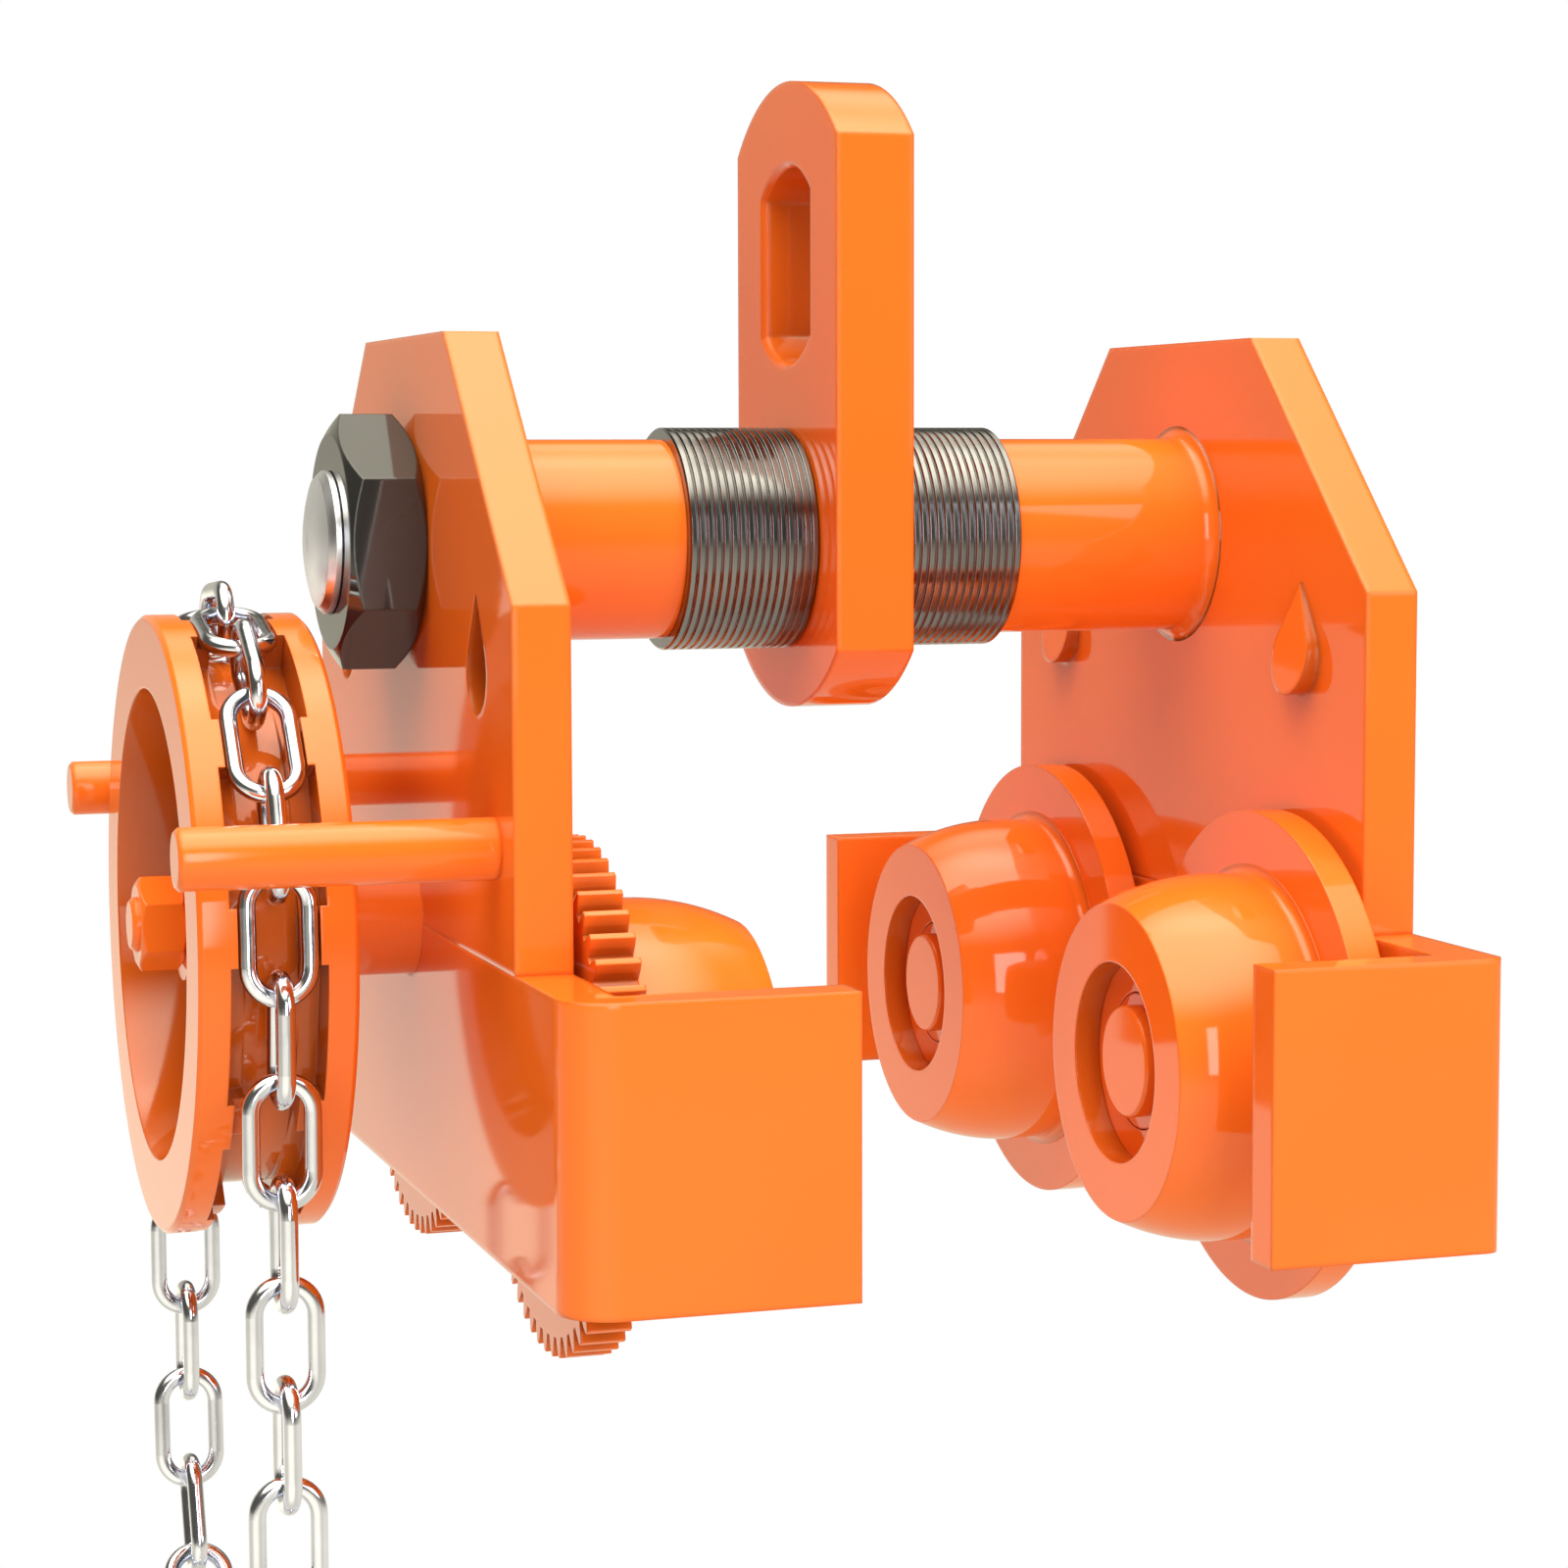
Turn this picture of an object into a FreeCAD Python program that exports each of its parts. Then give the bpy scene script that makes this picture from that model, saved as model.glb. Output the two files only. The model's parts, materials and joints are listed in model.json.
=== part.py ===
"""Geared beam trolley: side plates on a suspension shaft, four wheels, a chain wheel drive, a load eye.

X runs from the chain wheel side to the plain side, Y along the beam, Z up.
The origin is the middle of the load eye's opening.
"""
import math
import os

import FreeCAD
import Part
import Sketcher

SIZES = {
    # side plates and their bumper brackets
    "plate_gap": 229,
    "right_set_over": 3.4,
    "plate_thick": 16,
    "plate_length": 262,
    "plate_top_length": 107,
    "plate_top_rise": 60,
    "plate_corner_drop": 14,
    "plate_drop": 112,
    "bracket_height": 81.4,
    "bumper_thick": 13,
    "bumper_clearance": 14.788,
    "left_bumper_reach": 62,
    "right_bumper_reach": 54,
    "left_bend_radius": 14,
    "right_bend_radius": 5,
    "lug_dia": 23,
    "lug_height": 33,
    "lug_offset": 90,
    "lug_drop": 29,
    "lug_proud": 6,
    "lug_top_proud": 0.6,
    # suspension shaft with its nuts, spacer tubes and washers
    "shaft_dia": 42,
    "shaft_left_end": 29.5,
    "shaft_right_end": 44.5,
    "shaft_end_dome": 60,
    "shaft_end_chamfer": 2,
    "shaft_end_land": 1.6,
    "shaft_groove_width": 2.4,
    "shaft_groove_depth": 1.4,
    "nut_flats": 65,
    "nut_height": 22.5,
    "tube_wall": 8.5,
    "tube_clearance": 0.5,
    "weld_leg": 4,
    "washer_dia": 67,
    "washer_thick": 2.5,
    "washer_count": 16,
    # load eye
    "eye_thick": 24,
    "eye_width": 96,
    "eye_top_rise": 137.5,
    "eye_bottom_drop": 51.5,
    "eye_end_radius": 70,
    "slot_width": 45,
    "slot_height": 58.5,
    "slot_end_radius": 34,
    "slot_rise": 82.5,
    "slot_chamfer": 1.6,
    # wheels
    "axle_drop": 40.5,
    "wheel_gap": 3,
    "tread_length": 44,
    "tread_start_gap": 2.5,
    "tread_start_dia": 107.2,
    "tread_crown_radius": 70,
    "nose_dia": 93.6,
    "flange_thick": 10,
    "flange_fillet": 3,
    "shoulder_land": 0.4,
    "ring_seat_dia": 100,
    "recess_dia": 59,
    "recess_depth": 8,
    # gear train
    "gear_module": 2.5,
    "gear_teeth": 56,
    "gear_face": 12.5,
    "gear_pressure_angle": 20,
    "gear_backlash": 0.2,
    "pinion_teeth": 20,
    "pinion_face": 13.5,
    "drive_rise": 42,
    # wheel bearings and axles
    "bearing_dia": 62,
    "bearing_bore": 30,
    "bearing_width": 16,
    "bearing_race_wall": 5,
    "bearing_shield": 1.2,
    "race_spacer_wall": 3.5,
    "circlip_land": 2,
    "circlip_thick": 2,
    "circlip_groove": 1.5,
    "circlip_width": 4,
    "circlip_mouth": 9,
    "axle_seat_depth": 12,
    "axle_collar_dia": 38,
    "axle_spigot_dia": 16,
    "axle_spigot_length": 3.5,
    "end_cap_dia": 33,
    "end_cap_thick": 5,
    "end_cap_chamfer": 0.8,
    # chain wheel and its drive shaft
    "chain_wheel_dia": 180,
    "chain_wheel_width": 44,
    "chain_wheel_stand_off": 33,
    "chain_wheel_hub_dia": 42,
    "chain_wheel_hub_set_back": 12,
    "chain_wheel_web": 9,
    "rim_wall": 11.292,
    "dish_draft": 3.75,
    "dish_depth": 26,
    "rim_bevel": 1.2,
    "groove_neck_width": 15,
    "groove_floor_gap": 1.1,
    "pocket_count": 10,
    "pocket_width": 26.6,
    "pocket_length": 40,
    "drive_shaft_dia": 20,
    "drive_thread_dia": 16,
    "drive_shaft_tail": 3.5,
    "drive_nut_flats": 24,
    "drive_nut_height": 13,
    "drive_nut_overhang": 2,
    "drive_washer_dia": 34,
    "drive_washer_thick": 3,
    "housing_dia": 36,
    "bush_dia": 27,
    "thrust_ring_dia": 36,
    "drive_circlip_dia": 27,
    "drive_circlip_groove": 1,
    "key_width": 6,
    "key_height": 6,
    "key_length": 24,
    # guide rods
    "rod_dia": 17,
    "rod_length": 86,
    "rod_chain_clearance": 2.108,
    "rod_drop": 80,
    "rod_chamfer": 1,
    # hand chain
    "chain_wire_dia": 5,
    "chain_pitch": 28,
    "chain_link_width": 22,
    "chain_link_slack": 0.6,
    "chain_strand_links": 6,
    "chain_lead_angle": 4,
    # clearances
    "running_clearance": 0.06,
    "seat_clearance": 0.03,
    "side_clearance": 0.3,
    "cut_overrun": 5,
}

doc = FreeCAD.newDocument("geared_beam_trolley")
sheet = doc.addObject("Spreadsheet::Sheet", "Sizes")
for row, (alias, number) in enumerate(SIZES.items(), start=1):
    sheet.set(f"A{row}", alias)
    sheet.set(f"B{row}", str(number))
    sheet.setAlias(f"B{row}", alias)
doc.recompute()


class Measure:
    """A size that carries its number and the formula by which the document follows the sheet."""

    def __init__(self, value, formula):
        self.value = float(value)
        self.formula = formula

    def __add__(self, other):
        return Measure(self.value + other.value, f"({self.formula} + {other.formula})")

    def __sub__(self, other):
        return Measure(self.value - other.value, f"({self.formula} - {other.formula})")

    def __mul__(self, factor):
        other = measure(factor)
        return Measure(self.value * other.value, f"({self.formula} * {other.formula})")

    def __truediv__(self, divisor):
        other = measure(divisor)
        return Measure(self.value / other.value, f"({self.formula} / {other.formula})")

    def __neg__(self):
        return Measure(-self.value, f"(-1 * {self.formula})")


def measure(number):
    return number if isinstance(number, Measure) else Measure(number, repr(float(number)))


def size(alias):
    return Measure(sheet.get(alias), f"Sizes.{alias}")


def half(length):
    return length / 2


def square_root(length):
    return Measure(math.sqrt(length.value), f"sqrt({length.formula})")


def tangent(degrees):
    return Measure(math.tan(math.radians(degrees.value)), f"tan({degrees.formula})")


ZERO = measure(0)
ORIGIN = FreeCAD.Vector()
X_AXIS = FreeCAD.Vector(1, 0, 0)
Y_AXIS = FreeCAD.Vector(0, 1, 0)
Z_AXIS = FreeCAD.Vector(0, 0, 1)
UPRIGHT = FreeCAD.Rotation()
FULL_CIRCLE = math.degrees(math.tau)
HALF_CIRCLE = math.degrees(math.pi)
RIGHT_ANGLE = math.degrees(math.pi / 2)
HALF_TURN = FreeCAD.Rotation(Z_AXIS, HALF_CIRCLE)
ALONG_X = FreeCAD.Rotation(Y_AXIS, RIGHT_ANGLE)
NUT_FACE_SHARE = 0.97
NUT_BEVEL_ANGLE = 30
ON_FACE_SHARE = 0.001
HALF_SHARE = 0.5
ADDENDUM_SHARE = 1.0
DEDENDUM_SHARE = 1.25
FIRST_POINT, LAST_POINT, CENTRE_POINT = range(1, 4)
SKETCH_ORIGIN = (-1, FIRST_POINT)

# places that several pieces share
SHAFT_Z = -size("slot_rise")
PLATE_INNER = half(size("plate_gap"))
PLATE_OUTER = PLATE_INNER + size("plate_thick")
RIGHT_INNER = PLATE_INNER + size("right_set_over")
RIGHT_OUTER = RIGHT_INNER + size("plate_thick")
SEAM_Z = SHAFT_Z - size("plate_drop")
WHEEL_Z = SEAM_Z - size("axle_drop")
DRIVE_Z = WHEEL_Z + size("drive_rise")
GEAR_RADIUS = half(size("gear_module") * size("gear_teeth"))
PINION_RADIUS = half(size("gear_module") * size("pinion_teeth"))
GEAR_CENTRES = GEAR_RADIUS + PINION_RADIUS
FLANGE_RADIUS = GEAR_RADIUS + size("gear_module") * ADDENDUM_SHARE
WHEEL_Y = square_root(GEAR_CENTRES * GEAR_CENTRES - size("drive_rise") * size("drive_rise"))
CHAIN_WHEEL_INNER = PLATE_OUTER + size("chain_wheel_stand_off")
CHAIN_WHEEL_OUTER = CHAIN_WHEEL_INNER + size("chain_wheel_width")
CHAIN_X = -half(CHAIN_WHEEL_INNER + CHAIN_WHEEL_OUTER)
LINK_TURN = measure(HALF_CIRCLE) / size("pocket_count")
CHAIN_RADIUS = half(size("chain_pitch")) / tangent(LINK_TURN / 2)
BUMPER_INNER = WHEEL_Y + FLANGE_RADIUS + size("bumper_clearance")
OVERRUN = size("cut_overrun")
RUNNING = size("running_clearance")
SEATED = size("seat_clearance")
SIDE = size("side_clearance")

parts = []


def node(label, piece):
    """Names a finished sub-part: its label is also the name of its file."""
    piece.Label = label
    parts.append(piece)
    return piece


def bind(thing, prop, length):
    thing.setExpression(prop, length.formula)


def place(thing, x=ZERO, y=ZERO, z=ZERO, rotation=UPRIGHT):
    thing.Placement = FreeCAD.Placement(FreeCAD.Vector(x.value, y.value, z.value), rotation)
    bind(thing, "Placement.Base.x", x)
    bind(thing, "Placement.Base.y", y)
    bind(thing, "Placement.Base.z", z)
    return thing


def block(lengths, corner):
    box = doc.addObject("Part::Box", "Block")
    for prop, length in zip(("Length", "Width", "Height"), lengths):
        bind(box, prop, length)
    return place(box, *corner)


def cylinder(radius, length, x, y, z):
    """A round bar along X that starts at x."""
    bar = doc.addObject("Part::Cylinder", "Bar")
    bind(bar, "Radius", radius)
    bind(bar, "Height", length)
    return place(bar, x, y, z, ALONG_X)


def hexagon(flats, length, x, y, z):
    """A hexagonal bar along X, with a corner up."""
    prism = doc.addObject("Part::Prism", "Hexagon")
    prism.Polygon = 6
    bind(prism, "Circumradius", flats / square_root(measure(3)))
    bind(prism, "Height", length)
    return place(prism, x, y, z, ALONG_X)


def cut(base, *tools):
    result = doc.addObject("Part::Cut", "Cut")
    result.Base = base
    result.Tool = tools[0] if len(tools) == 1 else fuse(*tools)
    return result


def fuse(*pieces):
    result = doc.addObject("Part::MultiFuse", "Fusion")
    result.Shapes = list(pieces)
    return result


def common(*pieces):
    result = doc.addObject("Part::MultiCommon", "Common")
    result.Shapes = list(pieces)
    return result


def group(*pieces):
    """Separate solids that share one node."""
    result = doc.addObject("Part::Compound", "Group")
    result.Links = list(pieces)
    return result


def arc_between(start, end, radius):
    """The short arc from start to end; it bulges to the right of the way for a positive radius."""
    chord = end - start
    rise = math.sqrt(max(radius * radius - chord.Length * chord.Length / 4, 0))
    left = FreeCAD.Vector(-chord.y, chord.x, 0).normalize()
    middle = (start + end) / 2
    centre = middle + left * math.copysign(rise, radius)
    circle = Part.Circle(centre, Z_AXIS, abs(radius))
    first, last = (start, end) if radius > 0 else (end, start)
    angles = [math.atan2(p.y - centre.y, p.x - centre.x) for p in (first, last)]
    return Part.ArcOfCircle(circle, angles[0], angles[1])


def pin_point(sketch, where, across, up):
    """Ties a point of the sketch to its two sizes."""
    for kind, length in (("DistanceX", across), ("DistanceY", up)):
        index = sketch.addConstraint(Sketcher.Constraint(kind, *SKETCH_ORIGIN, *where, length.value))
        sketch.setExpression(f"Constraints[{index}]", length.formula)


def draw_loop(sketch, corners):
    """A closed outline: a corner is (across, up) or (across, up, radius of the arc to the next corner)."""
    ends = []
    for number, corner in enumerate(corners):
        following = corners[(number + 1) % len(corners)]
        start = FreeCAD.Vector(corner[0].value, corner[1].value, 0)
        end = FreeCAD.Vector(following[0].value, following[1].value, 0)
        if len(corner) == 2:
            ends.append((sketch.addGeometry(Part.LineSegment(start, end)), FIRST_POINT, LAST_POINT))
            continue
        radius = corner[2]
        edge = sketch.addGeometry(arc_between(start, end, radius.value))
        index = sketch.addConstraint(Sketcher.Constraint("Radius", edge, abs(radius.value)))
        sketch.setExpression(f"Constraints[{index}]", f"abs({radius.formula})")
        ends.append((edge, FIRST_POINT, LAST_POINT) if radius.value > 0 else (edge, LAST_POINT, FIRST_POINT))
    for number, (edge, start, end) in enumerate(ends):
        next_edge, next_start, _ = ends[(number + 1) % len(ends)]
        sketch.addConstraint(Sketcher.Constraint("Coincident", edge, end, next_edge, next_start))
        pin_point(sketch, (edge, start), corners[number][0], corners[number][1])


def draw_circle(sketch, radius, across, up):
    middle = FreeCAD.Vector(across.value, up.value, 0)
    edge = sketch.addGeometry(Part.Circle(middle, Z_AXIS, radius.value))
    index = sketch.addConstraint(Sketcher.Constraint("Radius", edge, radius.value))
    sketch.setExpression(f"Constraints[{index}]", radius.formula)
    pin_point(sketch, (edge, CENTRE_POINT), across, up)


def drawn_body(plane_role, loops, circles=()):
    """A body with one sketch on the named origin plane."""
    body = doc.addObject("PartDesign::Body", "Body")
    sketch = body.newObject("Sketcher::SketchObject", "Outline")
    plane = [feature for feature in body.Origin.OriginFeatures if feature.Role == plane_role][0]
    sketch.AttachmentSupport = [(plane, "")]
    sketch.MapMode = "FlatFace"
    for corners in loops:
        draw_loop(sketch, corners)
    for circle in circles:
        draw_circle(sketch, *circle)
    return body, sketch


def padded(plane_role, length, loops, circles=()):
    """A flat-sided piece: the outline is drawn on the plane and thickened along its normal."""
    body, sketch = drawn_body(plane_role, loops, circles)
    pad = body.newObject("PartDesign::Pad", "Thickness")
    pad.Profile = sketch
    bind(pad, "Length", length)
    sketch.Visibility = False
    return body


def turned(*loops):
    """A round piece: outlines of (distance along X, radius), turned about the X axis."""
    body, sketch = drawn_body("XZ_Plane", loops)
    revolution = body.newObject("PartDesign::Revolution", "Turning")
    revolution.Profile = sketch
    revolution.ReferenceAxis = (sketch, ["H_Axis"])
    revolution.Angle = FULL_CIRCLE
    return body


def ring(bore_radius, radius, start, end):
    """The outline of a plain ring."""
    return [(start, bore_radius), (end, bore_radius), (end, radius), (start, radius)]


def feature(shape):
    """A piece whose form comes from a formula."""
    piece = doc.addObject("Part::Feature", "Formed")
    piece.Shape = shape
    return piece


# side plates and brackets

def plate_outline():
    half_length = half(size("plate_length"))
    half_top = half(size("plate_top_length"))
    top = size("plate_top_rise")
    corner = -size("plate_corner_drop")
    bottom = -size("plate_drop")
    return [
        (-half_length, bottom), (half_length, bottom), (half_length, corner),
        (half_top, top), (-half_top, top), (-half_length, corner),
    ]


def lug_outline():
    """A drop with its point up: a round foot and two straight sides that meet at the top."""
    radius = half(size("lug_dia"))
    half_height = half(size("lug_height"))
    middle = radius - half_height
    point = half_height - middle
    lean = radius / point
    side = radius * square_root(measure(1) - lean * lean)
    shoulder = middle + radius * lean
    return [
        (ZERO, half_height), (-side, shoulder, radius), (ZERO, -half_height, radius), (side, shoulder),
    ]


def lug_bar(start, length, y):
    """A bar along X with the lug's outline."""
    return place(padded("YZ_Plane", length, [lug_outline()]), start, y, SHAFT_Z - size("lug_drop"))


def pressed_lug(y):
    """The lug on a left plate's inner face: nearly level with the plate at its point, proud at its foot."""
    half_height = half(size("lug_height"))
    sunk = half(size("plate_thick"))
    bar = lug_bar(-PLATE_INNER - sunk, size("plate_thick") + size("lug_proud"), y)
    wedge = doc.addObject("Part::Wedge", "Slope")
    span = half(size("lug_dia")) + OVERRUN
    limits = {
        "Xmin": -sunk, "Xmax": size("lug_proud"), "X2min": -sunk, "X2max": size("lug_top_proud"),
        "Ymin": -half_height, "Ymax": half_height, "Zmin": -span, "Zmax": span, "Z2min": -span, "Z2max": span,
    }
    for prop, length in limits.items():
        bind(wedge, prop, length)
    place(wedge, -PLATE_INNER, y, SHAFT_Z - size("lug_drop"), FreeCAD.Rotation(X_AXIS, RIGHT_ANGLE))
    return common(bar, wedge)


def lug_recess(y):
    """The dent that the pressed lug leaves in the outer face."""
    return lug_bar(-PLATE_OUTER - OVERRUN, size("lug_proud") + OVERRUN, y)


def mirrored_to_right(piece):
    """The right-hand piece of a pair: the left one, mirrored in the plane midway between the plates."""
    mirror = doc.addObject("Part::Mirroring", "Mirror")
    mirror.Source = piece
    mirror.Normal = X_AXIS
    bind(mirror, "Base.x", half(size("right_set_over")))
    return mirror


def side_plate(lower_hole_radius=None):
    hole = half(size("shaft_dia")) + SEATED
    sheet_metal = padded("YZ_Plane", size("plate_thick"), [plate_outline()], [(hole, ZERO, ZERO)])
    body = place(sheet_metal, -PLATE_OUTER, ZERO, SHAFT_Z)
    lug_places = (-size("lug_offset"), size("lug_offset"))
    plate = fuse(body, *[pressed_lug(y) for y in lug_places])
    tools = [lug_recess(y) for y in lug_places]
    if lower_hole_radius:
        tools.append(drive_hole(lower_hole_radius))
    return cut(plate, *tools)


def drive_hole(radius):
    length = size("plate_thick") + OVERRUN * 2
    return cylinder(radius, length, -PLATE_OUTER - OVERRUN, ZERO, DRIVE_Z)


def bumper_bracket(reach, bend_radius, lower_hole_radius=None):
    """The bent bar under a plate: a web in line with the plate and a bumper at each end."""
    outer = -PLATE_OUTER
    inner = -PLATE_INNER
    tip = inner + reach
    back = BUMPER_INNER
    end = back + size("bumper_thick")
    bend = bend_radius
    outline = [
        (tip, -end), (tip, -back), (inner, -back), (inner, back), (tip, back), (tip, end),
        (outer + bend, end, bend), (outer, end - bend), (outer, bend - end, bend), (outer + bend, -end),
    ]
    height = size("bracket_height")
    body = place(padded("XY_Plane", height, [outline]), ZERO, ZERO, SEAM_Z - height)
    radius = half(size("bearing_bore")) + SEATED
    depth = size("axle_seat_depth") + SEATED
    seat = -PLATE_INNER - depth
    tools = [cylinder(radius, depth + OVERRUN, seat, y, WHEEL_Z) for y in (-WHEEL_Y, WHEEL_Y)]
    if lower_hole_radius:
        tools.append(drive_hole(lower_hole_radius))
    return cut(body, *tools)


housing_seat = half(size("housing_dia")) + SEATED
left_bracket = bumper_bracket(size("left_bumper_reach"), size("left_bend_radius"), housing_seat)
right_bracket = bumper_bracket(size("right_bumper_reach"), size("right_bend_radius"))
node("left_side_plate", side_plate(housing_seat))
node("right_side_plate", mirrored_to_right(side_plate()))
node("left_bumper_bracket", left_bracket)
node("right_bumper_bracket", mirrored_to_right(right_bracket))


# suspension shaft

def domed_bar():
    """The through shaft: each end has a shallow dome and a bevel, and a groove runs round behind them."""
    radius = half(size("shaft_dia"))
    bevel = size("shaft_end_chamfer")
    dome = size("shaft_end_dome")
    flat = radius - bevel
    rise = dome - square_root(dome * dome - flat * flat)
    left = -PLATE_OUTER - size("shaft_left_end")
    right = RIGHT_OUTER + size("shaft_right_end")
    left_land = left + rise + bevel + size("shaft_end_land")
    right_land = right - rise - bevel - size("shaft_end_land")
    width = size("shaft_groove_width")
    bottom = radius - size("shaft_groove_depth")
    return turned([
        (left, ZERO), (right, ZERO, dome), (right - rise, flat), (right - rise - bevel, radius),
        (right_land, radius), (right_land - half(width), bottom), (right_land - width, radius),
        (left_land + width, radius), (left_land + half(width), bottom), (left_land, radius),
        (left + rise + bevel, radius), (left + rise, flat, dome),
    ])


def chamfered_nut(flats, height, bore_radius, x, z):
    """A hexagon nut whose corners are turned off on both faces."""
    corner = flats / square_root(measure(3))
    face = half(flats) * NUT_FACE_SHARE
    drop = (corner - face) * tangent(measure(NUT_BEVEL_ANGLE))
    barrel = turned([
        (ZERO, ZERO), (height, ZERO), (height, face), (height - drop, corner), (drop, corner), (ZERO, face),
    ])
    place(barrel, x, ZERO, z)
    blank = common(hexagon(flats, height, x, ZERO, z), barrel)
    return cut(blank, cylinder(bore_radius, height + OVERRUN * 2, x - OVERRUN, ZERO, z))


STACK = size("washer_thick") * size("washer_count")
STACK_START = half(size("eye_thick")) + SIDE
TUBE_START = STACK_START + STACK
SHAFT_BORE = half(size("shaft_dia")) + SEATED


def shaft_nut(x):
    return chamfered_nut(size("nut_flats"), size("nut_height"), SHAFT_BORE, x, SHAFT_Z)


def spacer_tube(side):
    """A tube between a plate and its washers; the right one has a weld bead where it meets the plate."""
    bore = half(size("shaft_dia")) + size("tube_clearance")
    radius = bore + size("tube_wall")
    bead = size("weld_leg")
    if side < 0:
        return turned(ring(bore, radius, -PLATE_INNER, -TUBE_START))
    return turned([
        (TUBE_START, bore), (RIGHT_INNER, bore), (RIGHT_INNER, radius + bead, -bead),
        (RIGHT_INNER - bead, radius), (TUBE_START, radius),
    ])


def washer_stack(side):
    start = STACK_START if side > 0 else -TUBE_START
    washers = []
    for number in range(int(SIZES["washer_count"])):
        first = start + size("washer_thick") * number
        washers.append(turned_washer(first))
    return group(*[place(washer, z=SHAFT_Z) for washer in washers])


def turned_washer(first):
    """One plain washer with broken outer edges."""
    radius = half(size("washer_dia"))
    edge = size("washer_thick") * WASHER_EDGE_SHARE
    last = first + size("washer_thick")
    return turned([
        (first, SHAFT_BORE), (last, SHAFT_BORE), (last, radius - edge), (last - edge, radius),
        (first + edge, radius), (first, radius - edge),
    ])


WASHER_EDGE_SHARE = 0.22
node("suspension_shaft", place(domed_bar(), z=SHAFT_Z))
node("left_spacer_tube", place(spacer_tube(-1), z=SHAFT_Z))
node("right_spacer_tube", place(spacer_tube(1), z=SHAFT_Z))
node("left_washer_stack", washer_stack(-1))
node("right_washer_stack", washer_stack(1))
node("left_shaft_nut", shaft_nut(-PLATE_OUTER - size("nut_height")))
node("right_shaft_nut", shaft_nut(RIGHT_OUTER))


# load eye

def bowed_outline(half_width, low, high, radius):
    """Two straight sides and two shallow bowed ends."""
    bow = radius - square_root(radius * radius - half_width * half_width)
    return [
        (-half_width, low + bow, radius), (half_width, low + bow), (half_width, high - bow, radius),
        (-half_width, high - bow),
    ]


def edges_on_faces(shape, plane_x, reach_low, reach_high):
    """Names of the edges that lie on the two faces and inside a band of heights."""
    names = []
    for number, edge in enumerate(shape.Edges, start=1):
        box = edge.BoundBox
        nearness = plane_x * ON_FACE_SHARE
        on_face = box.XLength < nearness and abs(abs(box.Center.x) - plane_x) < nearness
        if on_face and box.ZMin > reach_low and box.ZMax < reach_high:
            names.append(f"Edge{number}")
    return names


def eye_plate():
    low = SHAFT_Z - size("eye_bottom_drop")
    high = SHAFT_Z + size("eye_top_rise")
    outline = bowed_outline(half(size("eye_width")), low, high, size("eye_end_radius"))
    half_height = half(size("slot_height"))
    slot = bowed_outline(half(size("slot_width")), -half_height, half_height, size("slot_end_radius"))
    hole = (half(size("shaft_dia")) + RUNNING, ZERO, SHAFT_Z)
    body = padded("YZ_Plane", size("eye_thick"), [outline, slot], [hole])
    pad = body.Tip
    pad.Midplane = True
    doc.recompute()
    within = half_height.value + size("slot_chamfer").value
    chamfer = body.newObject("PartDesign::Chamfer", "SlotEdge")
    chamfer.Base = (pad, edges_on_faces(pad.Shape, half(size("eye_thick")).value, -within, within))
    bind(chamfer, "Size", size("slot_chamfer"))
    return body


node("eye_plate", eye_plate())


# gears

def involute(angle):
    return math.tan(angle) - angle


def gear_outline(teeth, phase):
    """Corners of a spur gear about the X axis; a tooth points along the phase angle, from +Y to +Z."""
    module = size("gear_module").value
    pressure = math.radians(SIZES["gear_pressure_angle"])
    pitch = module * teeth / 2
    base = pitch * math.cos(pressure)
    tip = pitch + module * ADDENDUM_SHARE
    root = pitch - module * DEDENDUM_SHARE
    half_tooth = (math.pi * module / 2 - SIZES["gear_backlash"]) / (2 * pitch)
    first = max(root, base)
    flank = [first + (tip - first) * share for share in FLANK_SHARES]
    corners = []
    for number in range(int(teeth)):
        middle = phase + 2 * math.pi * number / teeth
        spreads = [half_tooth + involute(pressure) - involute(math.acos(min(base / r, 1))) for r in flank]
        rising = [(r, middle - spread) for r, spread in zip(flank, spreads)]
        falling = [(r, middle + spread) for r, spread in zip(flank, spreads)]
        if root < first:
            rising.insert(0, (root, middle - spreads[0]))
            falling.insert(0, (root, middle + spreads[0]))
        corners.extend(rising + falling[::-1])
    return [FreeCAD.Vector(0, r * math.cos(a), r * math.sin(a)) for r, a in corners]


def toothed_disc(teeth, phase, face, bore_radius):
    corners = gear_outline(teeth, phase)
    outline = Part.Wire(Part.makePolygon(corners + corners[:1]))
    bore = Part.Wire(Part.makeCircle(bore_radius, ORIGIN, X_AXIS))
    disc = Part.Face(outline).cut(Part.Face(bore))
    return disc.extrude(X_AXIS * face).Solids[0]


FLANK_SHARES = (0.0, 0.5, 1.0)


def mesh_phase(side):
    """Angle of a gear's tooth that puts a gap opposite the pinion's tooth; side is -1 in front, 1 behind."""
    to_wheel = math.atan2(-size("drive_rise").value, side * WHEEL_Y.value)
    to_pinion = to_wheel + math.pi
    pinion_step = 2 * math.pi / SIZES["pinion_teeth"]
    gear_step = 2 * math.pi / SIZES["gear_teeth"]
    past_tooth = (to_wheel - PINION_PHASE) / pinion_step % 1
    return to_pinion + (past_tooth + HALF_SHARE) * gear_step


PINION_PHASE = math.pi / 2


# wheels, each with its axle and bearings

TREAD_BORE = half(size("bearing_dia"))
FIRST_RACE = size("circlip_land") + size("circlip_thick")
INNER_RACE_RADIUS = half(size("bearing_bore")) + size("bearing_race_wall")


def ring_thick(side):
    """Thickness of the pressed-on ring: a gear on the left side (-1), a plain flange on the right (1)."""
    return size("gear_face") if side < 0 else size("flange_thick")


def race_end(side):
    return ring_thick(side) + size("tread_length") - size("recess_depth")


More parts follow.
